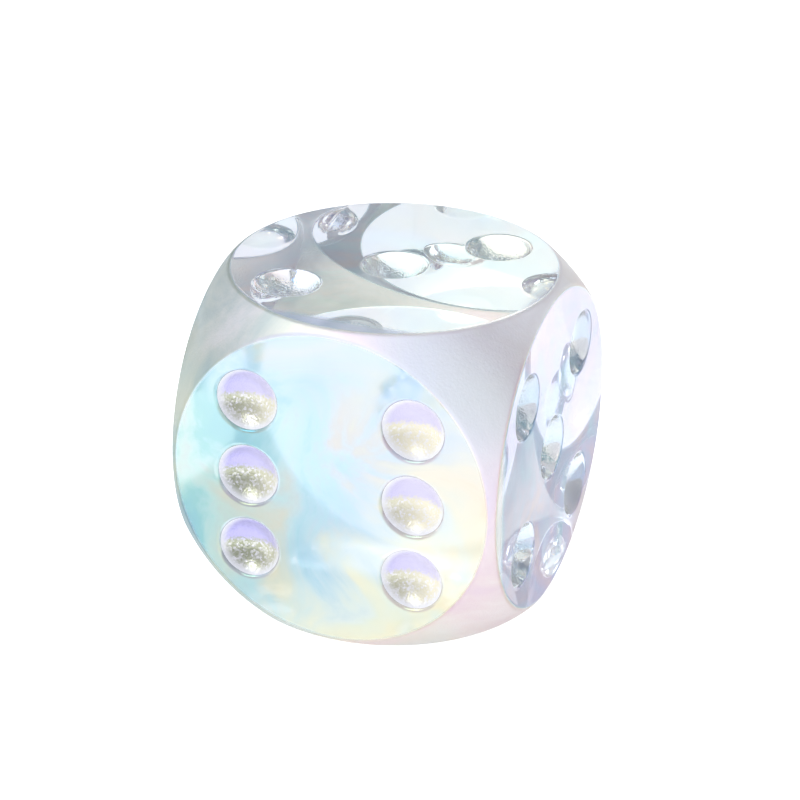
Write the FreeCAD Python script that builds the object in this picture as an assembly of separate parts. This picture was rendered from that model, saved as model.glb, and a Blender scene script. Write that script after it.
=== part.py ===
# A rounded six-sided die of clear moulded plastic, with a thin reflective lining in each of its spots.
# Millimetres, +Z up. The die stands on its four on the plane Z = 0, centred on the Z axis.

import FreeCAD, Part
import math
import os

# --- Driving sizes, mm ---

edge = 16.0                 # across flats, face to opposite face
rim_gap = 0.28              # how far each round face stops short of the square edge
rim_round = 0.40            # radius rolled onto the rim of each round face
spot_diameter = 3.10        # bowl, across its mouth
spot_depth = 1.00           # bowl, below the face
spot_rim_round = 0.20       # radius rolled onto the mouth of each bowl
spot_gap = 0.70             # clear face between two spots in a row of the six
spot_to_rim = 0.64          # clear face between a corner spot and the face's rim
six_spot_to_rim = 0.46      # the same on the six, whose rows stand a little wider
lining_thickness = 0.08     # reflective lacquer in a bowl
lining_setback = 0.02       # from the rolled mouth down to the lacquer's lip

same_size = 1e-5            # two radii nearer than this are one

# --- Sizes that follow ---

half_edge = edge / 2
face_radius = half_edge - rim_gap
ball_radius = math.hypot(half_edge, face_radius)
rim_turn = math.atan2(face_radius, half_edge)
land_half_width = ball_radius * (math.radians(45) - rim_turn)
rim_fillet = min(rim_round, 0.9 * land_half_width / math.tan(rim_turn / 2))
flat_radius = math.sqrt((ball_radius - rim_fillet) ** 2 - (half_edge - rim_fillet) ** 2)

spot_radius = spot_diameter / 2
bowl_radius = (spot_radius ** 2 + spot_depth ** 2) / (2 * spot_depth)
bowl_centre_height = bowl_radius - spot_depth
roll_share = bowl_radius / (bowl_radius + spot_rim_round)
roll_depth = (bowl_centre_height + spot_rim_round) * roll_share - bowl_centre_height
lining_recess = roll_depth + lining_setback
corner_offset = (flat_radius - spot_to_rim - spot_radius) / math.sqrt(2)
six_reach = flat_radius - six_spot_to_rim - spot_radius
six_row_offset = spot_diameter + spot_gap
six_column_offset = math.sqrt(six_reach ** 2 - six_row_offset ** 2)

# --- Where the spots lie on a face: (across, up) from the face's centre ---

low_corner = (-corner_offset, -corner_offset)
high_corner = (corner_offset, corner_offset)
left_corner = (-corner_offset, corner_offset)
right_corner = (corner_offset, -corner_offset)
centre = (0.0, 0.0)
six_spots = {
    f"{side}_{row}": (column * six_column_offset, level * six_row_offset)
    for side, column in (("left", -1), ("right", 1))
    for row, level in (("low", -1), ("middle", 0), ("high", 1))
}
spots = {
    "one": {"centre": centre},
    "two": {"low": low_corner, "high": high_corner},
    "three": {"low": low_corner, "centre": centre, "high": high_corner},
    "four": {"low": low_corner, "high": high_corner, "left": left_corner, "right": right_corner},
    "five": {"low": low_corner, "high": high_corner, "left": left_corner, "right": right_corner,
             "centre": centre},
    "six": six_spots,
}

# --- How each face lies: its outward direction, its across direction; up is their cross product ---

x_axis = FreeCAD.Vector(1, 0, 0)
y_axis = FreeCAD.Vector(0, 1, 0)
z_axis = FreeCAD.Vector(0, 0, 1)
faces = {
    "one": (y_axis, x_axis * -1),
    "two": (x_axis * -1, y_axis * -1),
    "three": (z_axis, x_axis),
    "four": (z_axis * -1, x_axis),
    "five": (x_axis, y_axis),
    "six": (y_axis * -1, x_axis),
}
die_centre = FreeCAD.Vector(0, 0, half_edge)


def spot_mouth(face, spot):
    """The centre of a spot's mouth, on the flat of its face."""
    outward, across = faces[face]
    up = outward.cross(across)
    along, rise = spots[face][spot]
    return die_centre + outward * half_edge + across * along + up * rise


def bowl(face, spot, shrink=0.0):
    """The ball that hollows out a spot, or a smaller one about the same point."""
    outward = faces[face][0]
    middle = spot_mouth(face, spot) + outward * bowl_centre_height
    return Part.makeSphere(bowl_radius - shrink, middle, outward)


def circles(solid, radius):
    """The round edges of one radius."""
    edges = [e for e in solid.Edges if not e.Degenerated]
    round_edges = [e for e in edges if isinstance(e.Curve, Part.Circle)]
    return [e for e in round_edges if abs(e.Curve.Radius - radius) < same_size]


def make_body():
    """A cube turned down to a ball, its six rims and its spots' mouths rolled over."""
    cube = Part.makeBox(edge, edge, edge, FreeCAD.Vector(-half_edge, -half_edge, 0))
    body = cube.common(Part.makeSphere(ball_radius, die_centre))
    body = body.makeFillet(rim_fillet, circles(body, face_radius))
    for face in spots:
        for spot in spots[face]:
            body = body.cut(bowl(face, spot))
    return body.makeFillet(spot_rim_round, circles(body, spot_radius))


def make_lining(face, spot):
    """A thin cup against the wall of one bowl, open at the top, its lip just below the face."""
    outward = faces[face][0]
    shell = bowl(face, spot).cut(bowl(face, spot, lining_thickness))
    below = Part.makeCylinder(
        spot_diameter, spot_diameter, spot_mouth(face, spot) - outward * lining_recess, outward * -1
    )
    return shell.common(below)


def single_solid(shape):
    """The one solid in a result, without the compound round it."""
    if len(shape.Solids) != 1:
        raise ValueError(f"expected one solid, found {len(shape.Solids)}")
    return shape.Solids[0]


nodes = {"die_body": make_body()}
for face in spots:
    for spot in spots[face]:
        nodes[f"spot_lining_{face}_{spot}"] = make_lining(face, spot)

os.makedirs("parts", exist_ok=True)
for name, shape in nodes.items():
    single_solid(shape).exportStep(os.path.join("parts", f"{name}.step"))
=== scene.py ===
import math

import bmesh
import bpy
from mathutils import Matrix, Vector


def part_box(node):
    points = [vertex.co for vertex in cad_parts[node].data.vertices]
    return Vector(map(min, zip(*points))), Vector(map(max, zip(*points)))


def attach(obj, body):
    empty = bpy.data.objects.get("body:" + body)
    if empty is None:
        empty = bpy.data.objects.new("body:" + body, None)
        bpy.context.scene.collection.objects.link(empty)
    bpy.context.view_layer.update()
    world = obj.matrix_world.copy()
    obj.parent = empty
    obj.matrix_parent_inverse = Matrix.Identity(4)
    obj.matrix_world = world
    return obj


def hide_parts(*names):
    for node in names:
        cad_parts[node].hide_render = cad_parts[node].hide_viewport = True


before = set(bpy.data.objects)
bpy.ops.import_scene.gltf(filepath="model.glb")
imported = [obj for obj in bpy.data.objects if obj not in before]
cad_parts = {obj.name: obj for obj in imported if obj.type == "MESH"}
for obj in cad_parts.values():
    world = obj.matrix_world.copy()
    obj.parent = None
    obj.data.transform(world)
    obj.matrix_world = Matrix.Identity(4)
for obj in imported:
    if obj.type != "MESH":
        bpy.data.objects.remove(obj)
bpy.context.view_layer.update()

# --- Sizes, metres unless said ---

mm = 0.001
body_low, body_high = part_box("die_body")
die_centre = (body_low + body_high) / 2
half_edge = (body_high.z - body_low.z) / 2
rim_gap = 0.28 * mm             # how far a round face stops short of the square edge
rim_round = 0.40 * mm           # radius rolled onto a face's rim
spot_radius = 1.55 * mm
spot_depth = 1.00 * mm
mouth_round = 0.20 * mm         # radius rolled onto a spot's mouth
flat_margin = 0.03 * mm         # a ring of true flat beside each rolled edge, which keeps the flats flat
lacquer_thickness = 0.08 * mm
lacquer_setback = 0.02 * mm     # from the rolled mouth down to the lacquer's lip
lacquer_gap = 0.006 * mm        # air between the lacquer and its bowl
satin_fade = 0.10 * mm          # below the ball, where the satin starts to give way to polish
satin_edge = 0.02 * mm          # below the ball, where the satin is full
cloud_size = 4.7 * mm           # a drift of colour in the pearl coat
grain_size = 0.12 * mm          # tumbled satin, drawn coarser than its real 0.03 so that it shows
grain_depth = 0.02 * mm
flake_size = 0.10 * mm          # mica flake, as large as they come; the finer ones don't show
flake_tilt = 0.02 * mm          # from one flake's edge to its middle
sharp_bend = math.radians(60)   # an edge that bends more is shaded sharp
floor_size = 3.0
floor_drop = 0.03 * mm          # keeps the floor and the four out of one plane
weld = 1e-8                     # two corners nearer than this are one
seam_weld = 2e-7                # the same, along the diagonals where two caps meet
plane_slack = 1e-7              # a corner this far off a face's plane still lies in it

face_steps = 192                # round a face's rim; a multiple of eight, so that the caps meet
rim_steps = 8                   # along a rolled rim
ball_steps = 22                 # from a rim to past the corner
spot_steps = 64                 # round a spot
mouth_steps = 6
bowl_steps = 18
corner_angle = math.radians(57)  # a little past the cube's corner, as seen from the centre

face_radius = half_edge - rim_gap
ball_radius = math.hypot(half_edge, face_radius)
flat_radius = math.sqrt((ball_radius - rim_round) ** 2 - (half_edge - rim_round) ** 2)
rim_turn = math.atan2(flat_radius, half_edge - rim_round)
bowl_radius = (spot_radius ** 2 + spot_depth ** 2) / (2 * spot_depth)
bowl_height = bowl_radius - spot_depth
mouth_radius = math.sqrt((bowl_radius + mouth_round) ** 2 - (bowl_height + mouth_round) ** 2)
mouth_turn = math.atan2(mouth_radius, bowl_height + mouth_round)
lacquer_recess = bowl_radius * math.cos(mouth_turn) - bowl_height + lacquer_setback


# --- Mesh helpers ---

def arc(middle, radius, start, end, steps):
    """Points (out, up) on an arc. Angles are from straight up, positive outwards."""
    angles = [start + (end - start) * i / steps for i in range(steps + 1)]
    return [(middle[0] + radius * math.sin(a), middle[1] + radius * math.cos(a)) for a in angles]


def spin_profile(bm, points, steps):
    """Turns a line of points (out, up) right round the Z axis."""
    verts = [bm.verts.new((out, 0, up)) for out, up in points]
    edges = [bm.edges.new(pair) for pair in zip(verts, verts[1:])]
    bmesh.ops.spin(
        bm, geom=verts + edges, cent=(0, 0, 0), axis=(0, 0, 1), dvec=(0, 0, 0),
        angle=math.tau, steps=steps, use_merge=True, use_duplicate=False,
    )
    bmesh.ops.remove_doubles(bm, verts=bm.verts, dist=weld)


def spun_mesh(name, points, steps):
    """A mesh turned from a line of points."""
    bm = bmesh.new()
    spin_profile(bm, points, steps)
    mesh = bpy.data.meshes.new(name)
    bm.to_mesh(mesh)
    bm.free()
    return mesh


def add_copy(bm, mesh, matrix):
    """Adds a mesh to a bmesh, in its place."""
    count = len(bm.verts)
    bm.from_mesh(mesh)
    bm.verts.ensure_lookup_table()
    bmesh.ops.transform(bm, matrix=matrix, verts=bm.verts[count:])


def finish_piece(bm, name, material):
    """Closes a bmesh off as a smooth piece with one material."""
    bmesh.ops.recalc_face_normals(bm, faces=bm.faces)
    for face in bm.faces:
        face.smooth = True
    for bend in bm.edges:
        bend.smooth = bend.calc_face_angle(0.0) < sharp_bend
    mesh = bpy.data.meshes.new(name)
    bm.to_mesh(mesh)
    bm.free()
    mesh.materials.append(material)
    piece = bpy.data.objects.new(name, mesh)
    bpy.context.scene.collection.objects.link(piece)
    return piece


# --- Faces and spots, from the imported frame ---

axes = (Vector((1, 0, 0)), Vector((0, 1, 0)), Vector((0, 0, 1)))
directions = [axis * sign for axis in axes for sign in (1, -1)]


def facing(outward):
    """The turn that takes +Z to a face's outward direction."""
    return Vector((0, 0, 1)).rotation_difference(outward).to_matrix().to_4x4()


def spot_place(node):
    """Where a spot's mouth lies and which way it faces."""
    low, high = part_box(node)
    middle = (low + high) / 2 - die_centre
    size = high - low
    thin = min(range(3), key=lambda i: size[i])
    outward = Vector((0, 0, 0))
    outward[thin] = math.copysign(1, middle[thin])
    mouth = die_centre + middle
    mouth[thin] = die_centre[thin] + outward[thin] * half_edge
    return Matrix.Translation(mouth) @ facing(outward)


linings = sorted(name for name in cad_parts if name.startswith("spot_lining"))
spot_places = {name: spot_place(name) for name in linings}


# --- Materials ---

def paint(hex_colour):
    """An sRGB hex colour as linear red, green, blue and a full alpha."""
    channels = [int(hex_colour[i:i + 2], 16) / 255 for i in (1, 3, 5)]
    linear = [c / 12.92 if c <= 0.04045 else ((c + 0.055) / 1.055) ** 2.4 for c in channels]
    return (*linear, 1.0)


def add(tree, kind, inputs=(), colours=(), **settings):
    """Adds a node: its settings, its inputs by name or in order, and a colour ramp's evenly spaced colours.

    An input takes a value, a socket, or a node, which stands for that node's first socket in use.
    """
    node = tree.nodes.new(kind)
    for name, value in settings.items():
        setattr(node, name, value)
    sockets = [socket for socket in node.inputs if socket.enabled]
    for key, value in inputs.items() if isinstance(inputs, dict) else enumerate(inputs):
        socket = sockets[key] if isinstance(key, int) else node.inputs[key]
        if isinstance(value, bpy.types.Node):
            value = next(output for output in value.outputs if output.enabled)
        if isinstance(value, bpy.types.NodeSocket):
            tree.links.new(value, socket)
        else:
            socket.default_value = value
    for i, colour in enumerate(colours):
        stops = node.color_ramp.elements
        place = i / (len(colours) - 1)
        stop = stops[-int(place)] if place in (0, 1) else stops.new(place)
        stop.color = paint(colour)
    return node


def new_material(name):
    """An empty material and its nodes."""
    material = bpy.data.materials.new(name)
    material.use_nodes = True
    material.node_tree.nodes.clear()
    return material, material.node_tree


# The body's coat. Places are in half edges from the die's centre. A pair says where a tone starts and where
# it is full.

six_depths = (-0.80, -0.90)     # the dense coat on the six
# The five's tone is partly its own grey and partly painted shade, darker towards its top.
five_depths = (0.85, 0.95)      # the greyer tone of the five
cloud_levels = (0.25, 0.75)     # of the cloud pattern: one end of the drift, the other
across_share = 0.42             # of the coat's colours, for each half edge across
coat_drift = 0.70               # how far a cloud shifts the colours of the six
cream_drift = 0.5               # the edge of its cream
satin_drift = 0.2               # the colours of the ball
cream_slope = 0.75              # the cream lies towards the lower right
cream_falls = (0.05, 0.65)
cream_heights = (-0.6, 0.5)     # warm low down, pinker high up
crown_heights = (0.35, 0.95)    # the cool top of the six
# A painted highlight: a white band over the right of the six that stands for a bright refracted horizon.
highlight_band_height = -0.40             # a white band over the right of the six, which climbs a little to the right
highlight_band_climb = 0.06
highlight_band_half_widths = (0.16, 0.04)
highlight_band_span = (-0.25, 0.35)

# Its thickness, in nanometres.

flat_coat = 158.0
six_coat = 194.0
cream_coat = 16.0               # more, in the cream
ball_coat = 204.0
flat_coat_drift = 50.0          # more, from one end of the drift to the other
ball_coat_drift = 60.0

# The body's finish.

acrylic_ior = 1.49
coat_ior = 2.0
polished_roughness = 0.03
coat_roughness = 0.12           # more, on the six
satin_roughness = 0.37          # more, on the ball
coat_haze = 0.60                # how much of the six is milky
satin_haze = 0.25
grain_strength = 0.5


def make_clear_acrylic():
    # Clear acrylic, moulded. The six round flats are polished to glass. The ball between them keeps the
    # satin of the tumbling drum, so it glows softly and hides what lies behind. Its tint is partly its own
    # olive-to-mauve tone and partly painted shade, darker towards the left and the right. A pearl coat about
    # 200 nanometres thick was laid on from the six's side. It is dense and milky there, with a drift from
    # mint over pale blue to pink and a painted highlight, a white band over its right. Elsewhere it only
    # gives the glass and its inner reflections a blush. The five is painted darker towards its top as shade.
    material, tree = new_material("clear_acrylic_pearl_coat")
    place = add(tree, "ShaderNodeTexCoord").outputs["Object"]
    local = add(tree, "ShaderNodeMapping", {
        "Vector": place, "Location": -die_centre / half_edge, "Scale": (1 / half_edge,) * 3,
    })
    right, back, up = add(tree, "ShaderNodeSeparateXYZ", [local]).outputs
    reach = add(tree, "ShaderNodeVectorMath", [place, die_centre], operation="DISTANCE")
    ball = add(tree, "ShaderNodeMapRange", [reach, ball_radius - satin_fade, ball_radius - satin_edge],
               interpolation_type="SMOOTHSTEP")
    towards_six = add(tree, "ShaderNodeMapRange", [back, *six_depths], interpolation_type="SMOOTHSTEP")
    front = add(tree, "ShaderNodeMath", [towards_six, ball], operation="SUBTRACT", use_clamp=True)

    cloud = add(tree, "ShaderNodeTexNoise", {
        "Vector": local, "Scale": half_edge / cloud_size, "Detail": 5.0, "Roughness": 0.6, "Distortion": 1.2,
    })
    drift = add(tree, "ShaderNodeMapRange", [cloud, *cloud_levels, -0.5, 0.5],
                interpolation_type="SMOOTHSTEP")
    across = add(tree, "ShaderNodeMath", [right, across_share, 0.5], operation="MULTIPLY_ADD")
    phase = add(tree, "ShaderNodeMath", [drift, coat_drift, across], operation="MULTIPLY_ADD")
    pearl = add(tree, "ShaderNodeValToRGB", [phase],
                ("#AECEBE", "#C4D2D4", "#C6C4D4", "#CAB8C6", "#C8C2C4"))
    fall = add(tree, "ShaderNodeMath", [up, -cream_slope, right], operation="MULTIPLY_ADD")
    lower = add(tree, "ShaderNodeMath", [drift, cream_drift, fall], operation="MULTIPLY_ADD")
    creamy = add(tree, "ShaderNodeMapRange", [lower, *cream_falls], interpolation_type="SMOOTHSTEP")
    height = add(tree, "ShaderNodeMapRange", [up, *cream_heights], interpolation_type="SMOOTHSTEP")
    cream = add(tree, "ShaderNodeMix", [height, paint("#F2E4D8"), paint("#D8C8CE")], data_type="RGBA")
    warmed = add(tree, "ShaderNodeMix", [creamy, pearl, cream], data_type="RGBA")
    crown = add(tree, "ShaderNodeMapRange", [up, *crown_heights], interpolation_type="SMOOTHSTEP")
    cooled = add(tree, "ShaderNodeMix", [crown, warmed, paint("#C2C4DA")], data_type="RGBA")
    # The painted highlight: a white band over the right of the six.
    slope = add(tree, "ShaderNodeMath", [right, -highlight_band_climb, up], operation="MULTIPLY_ADD")
    highlight_band_reach = add(tree, "ShaderNodeMapRange", [right, *highlight_band_span], interpolation_type="SMOOTHSTEP")
    highlight_band_offset = add(tree, "ShaderNodeMath", [slope, -highlight_band_height])
    highlight_band_distance = add(tree, "ShaderNodeMath", [highlight_band_offset], operation="ABSOLUTE")
    highlight_band_edge = add(tree, "ShaderNodeMapRange", [highlight_band_distance, *highlight_band_half_widths],
                    interpolation_type="SMOOTHSTEP")
    painted_highlight_band = add(tree, "ShaderNodeMath", [highlight_band_edge, highlight_band_reach], operation="MULTIPLY")
    front_tint_and_highlight = add(tree, "ShaderNodeMix", [painted_highlight_band, cooled, paint("#FFF6F8")], data_type="RGBA")

    satin_phase = add(tree, "ShaderNodeMath", [drift, satin_drift, across], operation="MULTIPLY_ADD")
    # This is partly the ball's own olive-to-mauve tone and partly painted shade. It is darkest towards the
    # left end, a little darker towards the right end, and lightest between.
    satin_tint_and_shade = add(tree, "ShaderNodeValToRGB", [satin_phase],
                     ("#606864", "#9AA0A2", "#CCCED8", "#E4DEE8", "#E0D8E6", "#CEC8CA"))
    right_face = add(tree, "ShaderNodeMapRange", [right, *five_depths], interpolation_type="SMOOTHSTEP")
    # Painted shade: the five's tint darkens towards its top.
    right_tint_and_shade = add(tree, "ShaderNodeMix", [height, paint("#D8DCE4"), paint("#9A9EAE")], data_type="RGBA")
    blush = add(tree, "ShaderNodeValToRGB", [satin_phase],
                ("#FCFCFF", "#F6F6FF", "#F2FEFA", "#FFFFF6", "#FFFFFE"))
    clear_tint = add(tree, "ShaderNodeMix", [right_face, blush, right_tint_and_shade], data_type="RGBA")
    body_tint = add(tree, "ShaderNodeMix", [ball, clear_tint, satin_tint_and_shade], data_type="RGBA")
    tint = add(tree, "ShaderNodeMix", [front, body_tint, front_tint_and_highlight], data_type="RGBA")

    polish = add(tree, "ShaderNodeMath", [front, coat_roughness, polished_roughness],
                 operation="MULTIPLY_ADD")
    roughness = add(tree, "ShaderNodeMath", [ball, satin_roughness, polish], operation="MULTIPLY_ADD")
    satin_clarity = add(tree, "ShaderNodeMath", [ball, -satin_haze, 1.0], operation="MULTIPLY_ADD")
    clarity = add(tree, "ShaderNodeMath", [front, -coat_haze, satin_clarity], operation="MULTIPLY_ADD")
    front_film = add(tree, "ShaderNodeMath", [creamy, cream_coat, six_coat], operation="MULTIPLY_ADD")
    flat_film = add(tree, "ShaderNodeMix", [front, flat_coat, front_film])
    clear_film = add(tree, "ShaderNodeMath", [drift, flat_coat_drift, flat_film], operation="MULTIPLY_ADD")
    satin_film = add(tree, "ShaderNodeMath", [phase, ball_coat_drift, ball_coat], operation="MULTIPLY_ADD")
    film = add(tree, "ShaderNodeMix", [ball, clear_film, satin_film])
    grain = add(tree, "ShaderNodeTexNoise", {"Vector": place, "Scale": 1 / grain_size, "Detail": 2.0})
    grain_share = add(tree, "ShaderNodeMath", [ball, grain_strength], operation="MULTIPLY")
    satin = add(tree, "ShaderNodeBump", {"Height": grain, "Strength": grain_share, "Distance": grain_depth})
    shader = add(tree, "ShaderNodeBsdfPrincipled", {
        "Base Color": tint,
        "Roughness": roughness,
        "IOR": acrylic_ior,
        "Normal": satin,
        "Transmission Weight": clarity,
        "Thin Film Thickness": film,
        "Thin Film IOR": coat_ior,
    })
    add(tree, "ShaderNodeOutputMaterial", [shader])
    return material


# The lacquer. Painted shade and light: how light it is grows with each half edge upwards and to the right,
# and over a spot.

painted_light_start = 0.30              # at the middle of the foot
painted_light_upwards = 0.30
painted_light_right = 0.50
painted_light_in_spot = 0.30            # from a spot's middle to its side
cup_depths = (-0.80, -0.86)     # in half edges: the cups of the six are dense, the others nearly clear
lip_reaches = (0.97, 0.74)      # in spot radii: milky at the lip, pearly within
# The gold-and-violet split is partly the film's colour and partly a painted reflection of the horizon.
painted_horizon_rises = (-0.06, 0.18)   # in spot radii: gold below, violet above
flake_scatter = 0.12            # how far one flake strays over that line
shine_fall = 3.0                # a high power leaves few flakes white
dark_mirror = 0.36              # how much the darkest cups mirror
mirror_loss = 0.30              # less, in the lightest
cup_haze = 0.97                 # how milky the dense cups are


def make_pearl_lacquer():
    # Clear lacquer filled with pearl mica flakes, dropped into each bowl and dried there. It mirrors a
    # little, glitters, and goes from blue-violet where it tilts down to olive and gold where it tilts up.
    # That split is partly the film's colour and partly a painted reflection of the horizon, and painted
    # shade makes the cups darker towards the lower left. Its thin lip is milky white. Away from the six it
    # is nearly clear.
    material, tree = new_material("mica_pearl_lacquer")
    place = add(tree, "ShaderNodeTexCoord").outputs["Object"]
    rise = add(tree, "ShaderNodeAttribute", attribute_name="rise").outputs["Fac"]
    sideways = add(tree, "ShaderNodeAttribute", attribute_name="across").outputs["Fac"]
    right, back, up = add(tree, "ShaderNodeSeparateXYZ", [place]).outputs
    row = add(tree, "ShaderNodeMath", [up, painted_light_upwards / half_edge, painted_light_start],
              operation="MULTIPLY_ADD")
    column = add(tree, "ShaderNodeMath", [right, painted_light_right / half_edge, row], operation="MULTIPLY_ADD")
    painted_lightness = add(tree, "ShaderNodeMath", [sideways, painted_light_in_spot, column], operation="MULTIPLY_ADD")
    # light is painted shade and light for the cups: darker low and to the left, lighter high and to the
    # right.
    light = add(tree, "ShaderNodeMapRange", [painted_lightness, 0.0, 1.0], interpolation_type="SMOOTHSTEP")
    veil = add(tree, "ShaderNodeMapRange", [back, *(depth * half_edge for depth in cup_depths)],
               interpolation_type="SMOOTHSTEP")
    spot_reach = add(tree, "ShaderNodeVectorMath", [
        add(tree, "ShaderNodeCombineXYZ", [rise, sideways, 0.0]),
    ], operation="LENGTH")
    middle = add(tree, "ShaderNodeMapRange", [spot_reach, *lip_reaches], interpolation_type="SMOOTHSTEP")

    flake = add(tree, "ShaderNodeTexVoronoi", {"Vector": place, "Scale": 1 / flake_size})
    fleck = add(tree, "ShaderNodeSeparateXYZ", [flake.outputs["Color"]])
    glitter = add(tree, "ShaderNodeBump", {"Height": flake, "Strength": 0.6, "Distance": flake_tilt})
    # The painted light picks between the darker and the lighter colour of each pair.
    olive = add(tree, "ShaderNodeMix", [light, paint("#B2B89A"), paint("#FBF6DA")], data_type="RGBA")
    shine = add(tree, "ShaderNodeMath", [fleck, shine_fall], operation="POWER")
    gold = add(tree, "ShaderNodeMix", [shine, olive, paint("#FFFFFF")], data_type="RGBA")
    violet = add(tree, "ShaderNodeMix", [light, paint("#C4C0F4"), paint("#E2DEF6")], data_type="RGBA")
    painted_horizon = add(tree, "ShaderNodeMath", [fleck, flake_scatter, rise], operation="MULTIPLY_ADD")
    painted_horizon_split = add(tree, "ShaderNodeMapRange", [painted_horizon, *painted_horizon_rises], interpolation_type="SMOOTHSTEP")
    pearl = add(tree, "ShaderNodeMix", [painted_horizon_split, gold, violet], data_type="RGBA")
    milky = add(tree, "ShaderNodeMix", [middle, paint("#FAFCFF"), pearl], data_type="RGBA")
    tint = add(tree, "ShaderNodeMix", [veil, paint("#FBFDFD"), milky], data_type="RGBA")
    mirror_share = add(tree, "ShaderNodeMath", [veil, middle], operation="MULTIPLY")
    bare = add(tree, "ShaderNodeMath", [light, -mirror_loss, dark_mirror], operation="MULTIPLY_ADD")
    mirror = add(tree, "ShaderNodeMath", [mirror_share, bare], operation="MULTIPLY")
    clarity = add(tree, "ShaderNodeMath", [veil, -cup_haze, 1.0], operation="MULTIPLY_ADD")
    shader = add(tree, "ShaderNodeBsdfPrincipled", {
        "Base Color": tint,
        "Roughness": 0.10,
        "Metallic": mirror,
        "IOR": acrylic_ior,
        "Normal": glitter,
        "Transmission Weight": clarity,
    })
    add(tree, "ShaderNodeOutputMaterial", [shader])
    return material


# The light table under the paper, and the soft dome over it.

floor_glow = 0.80
sky_glow = 0.66


def make_floor_paper():
    # Matt white paper on a light table: it lights the die from below and takes no shadow.
    material, tree = new_material("lit_matt_paper")
    shader = add(tree, "ShaderNodeBsdfPrincipled", {
        "Base Color": paint("#F8F8F8"),
        "Roughness": 0.9,
        "Emission Color": paint("#FFFFFF"),
        "Emission Strength": floor_glow,
    })
    add(tree, "ShaderNodeOutputMaterial", [shader])
    return material


clear_acrylic = make_clear_acrylic()
pearl_lacquer = make_pearl_lacquer()


# --- The clear body ---

def cap_mesh():
    """One face's share of the body, but for its flat: a rolled rim, then the ball up to the diagonals."""
    rim_middle = (flat_radius, half_edge - rim_round)
    profile = [(flat_radius - flat_margin, half_edge)]
    profile += arc(rim_middle, rim_round, 0, rim_turn, rim_steps)
    profile += arc((0, 0), ball_radius, rim_turn, corner_angle, ball_steps)[1:]
    bm = bmesh.new()
    spin_profile(bm, profile, face_steps)
    for side in ((1, 0, -1), (-1, 0, -1), (0, 1, -1), (0, -1, -1)):
        bmesh.ops.bisect_plane(
            bm, geom=bm.verts[:] + bm.edges[:] + bm.faces[:], dist=weld,
            plane_co=(0, 0, 0), plane_no=side, clear_outer=True,
        )
    mesh = bpy.data.meshes.new("cap")
    bm.to_mesh(mesh)
    bm.free()
    return mesh


def bowl_mesh():
    """A spot's hollow: a narrow flat ring, the rolled mouth, the bowl."""
    profile = [(mouth_radius + flat_margin, 0)]
    profile += arc((mouth_radius, -mouth_round), mouth_round, 0, -mouth_turn, mouth_steps)
    profile += arc((0, bowl_height), bowl_radius, math.pi - mouth_turn, math.pi, bowl_steps)[1:]
    return spun_mesh("bowl", profile, spot_steps)


def in_plane(edge, outward):
    """True for an open edge that lies in one face's plane."""
    height = half_edge - plane_slack
    return edge.is_boundary and all((v.co - die_centre).dot(outward) > height for v in edge.verts)


def make_body():
    """The six caps and the spots' bowls, joined by the flats between them."""
    bm = bmesh.new()
    cap = cap_mesh()
    bowl = bowl_mesh()
    for outward in directions:
        add_copy(bm, cap, Matrix.Translation(die_centre) @ facing(outward))
    for place in spot_places.values():
        add_copy(bm, bowl, place)
    bmesh.ops.remove_doubles(bm, verts=bm.verts, dist=seam_weld)
    for outward in directions:
        rings = [edge for edge in bm.edges if in_plane(edge, outward)]
        bmesh.ops.triangle_fill(bm, edges=rings, use_beauty=True, normal=outward)
    body = finish_piece(bm, "clear_body", clear_acrylic)
    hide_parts("die_body")
    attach(body, "root")


make_body()


# --- The spots' lacquer ---

def lining_mesh():
    """A thin cup that follows the bowl and thins out to its lip."""
    outer = bowl_radius - lacquer_gap
    lip_height = bowl_height + lacquer_recess
    lip_turn = math.acos(lip_height / outer)
    lip_radius = outer * math.sin(lip_turn)
    inner_depth = spot_depth - lacquer_recess - lacquer_thickness
    inner = (lip_radius ** 2 + inner_depth ** 2) / (2 * inner_depth)
    inner_height = inner - spot_depth + lacquer_thickness
    inner_turn = math.asin(lip_radius / inner)
    profile = arc((0, bowl_height), outer, math.pi, math.pi - lip_turn, bowl_steps)
    profile += arc((0, inner_height), inner, math.pi - inner_turn, math.pi, bowl_steps)[1:]
    return spun_mesh("lining", profile, spot_steps)


def mark_place(piece, mouth, outward):
    """Stores where in its spot each corner of a cup lies, in spot radii: across it, and up it as rise."""
    up = axes[0] if abs(outward.z) > 0.5 else axes[2]
    for name, direction in (("rise", up), ("across", up.cross(outward))):
        reaches = [(v.co - mouth).dot(direction) / spot_radius for v in piece.data.vertices]
        piece.data.attributes.new(name, "FLOAT", "POINT").data.foreach_set("value", reaches)


lining = lining_mesh()
for node, place in spot_places.items():
    cup = bmesh.new()
    add_copy(cup, lining, place)
    piece = finish_piece(cup, node.replace("spot_lining", "pearl_cup"), pearl_lacquer)
    mark_place(piece, place.to_translation(), place.col[2].to_3d())
    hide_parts(node)
    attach(piece, "root")


# --- Floor, light and camera ---

floor_bm = bmesh.new()
bmesh.ops.create_grid(floor_bm, x_segments=1, y_segments=1, size=floor_size)
bmesh.ops.translate(floor_bm, vec=(0, 0, -floor_drop), verts=floor_bm.verts)
floor = finish_piece(floor_bm, "paper_floor", make_floor_paper())


def bearing(azimuth, elevation):
    """A direction from the die: degrees from the front round to the right, and degrees up."""
    a, e = math.radians(azimuth), math.radians(elevation)
    return Vector((math.sin(a) * math.cos(e), -math.cos(a) * math.cos(e), math.sin(e)))


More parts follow.
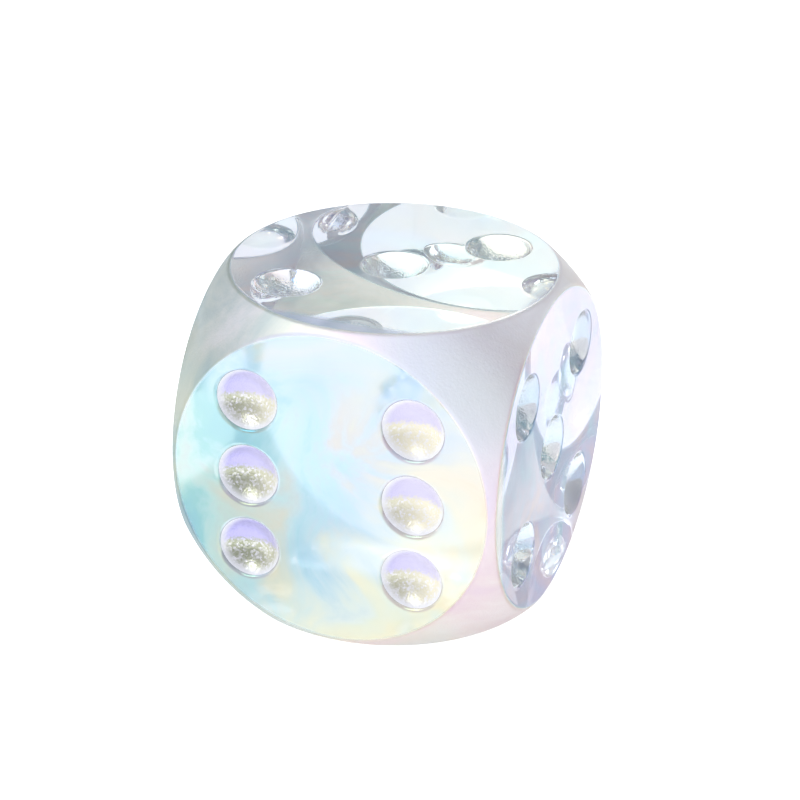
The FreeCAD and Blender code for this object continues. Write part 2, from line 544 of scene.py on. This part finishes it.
def add_softbox(name, towards, distance, width, height, power):
    """A soft white rectangular light that faces the die."""
    light = bpy.data.lights.new(name, "AREA")
    light.shape = "RECTANGLE"
    light.size = width
    light.size_y = height
    light.energy = power
    lamp = bpy.data.objects.new(name, light)
    lamp.location = die_centre + towards * distance
    lamp.rotation_euler = towards.to_track_quat("Z", "Y").to_euler()
    bpy.context.scene.collection.objects.link(lamp)


front_way = (0.3, -0.95, -0.1)
front_edge = (-0.1, 0.45)       # where the dome starts to dim towards the front, and where it is dimmest

world = bpy.data.worlds.new("studio")
world.use_nodes = True
world.node_tree.nodes.clear()
air = world.node_tree
direction = add(air, "ShaderNodeTexCoord").outputs["Generated"]
frontness = add(air, "ShaderNodeVectorMath", [direction, front_way], operation="DOT_PRODUCT")
dimness = add(air, "ShaderNodeMapRange", [frontness, *front_edge], interpolation_type="SMOOTHSTEP")
tone = add(air, "ShaderNodeMix", [dimness, paint("#FFFFFF"), paint("#C2C2D6")], data_type="RGBA")
seen = add(air, "ShaderNodeLightPath").outputs["Is Camera Ray"]
backdrop = add(air, "ShaderNodeMix", [seen, tone, paint("#FFFFFF")], data_type="RGBA")
glow = add(air, "ShaderNodeMath", [seen, 1.0 - sky_glow, sky_glow], operation="MULTIPLY_ADD")
sky = add(air, "ShaderNodeBackground", {"Color": backdrop, "Strength": glow})
add(air, "ShaderNodeOutputWorld", [sky])
bpy.context.scene.world = world
add_softbox("key", bearing(-40, 50), distance=0.5, width=0.42, height=0.20, power=0.95)

view_distance = 0.132
view_roll = math.radians(0.5)
aim_right = 0.30 * mm
aim_up = 0.88 * mm

camera_data = bpy.data.cameras.new("camera")
camera_data.lens = 124.3
camera_data.sensor_width = 36
camera_data.clip_start = 0.01
camera_data.clip_end = 20
camera = bpy.data.objects.new("camera", camera_data)
view_way = bearing(21.4, 26.2)
turn = view_way.to_track_quat("Z", "Y")
camera.rotation_mode = "QUATERNION"
camera.location = die_centre + view_way * view_distance + turn @ Vector((aim_right, aim_up, 0))
camera.rotation_quaternion = turn @ Matrix.Rotation(view_roll, 3, "Z").to_quaternion()
bpy.context.scene.collection.objects.link(camera)
bpy.context.scene.camera = camera
bpy.context.scene.view_settings.view_transform = "Standard"
bpy.context.scene.cycles.max_bounces = 24
bpy.context.scene.cycles.glossy_bounces = 16
bpy.context.scene.cycles.transmission_bounces = 24
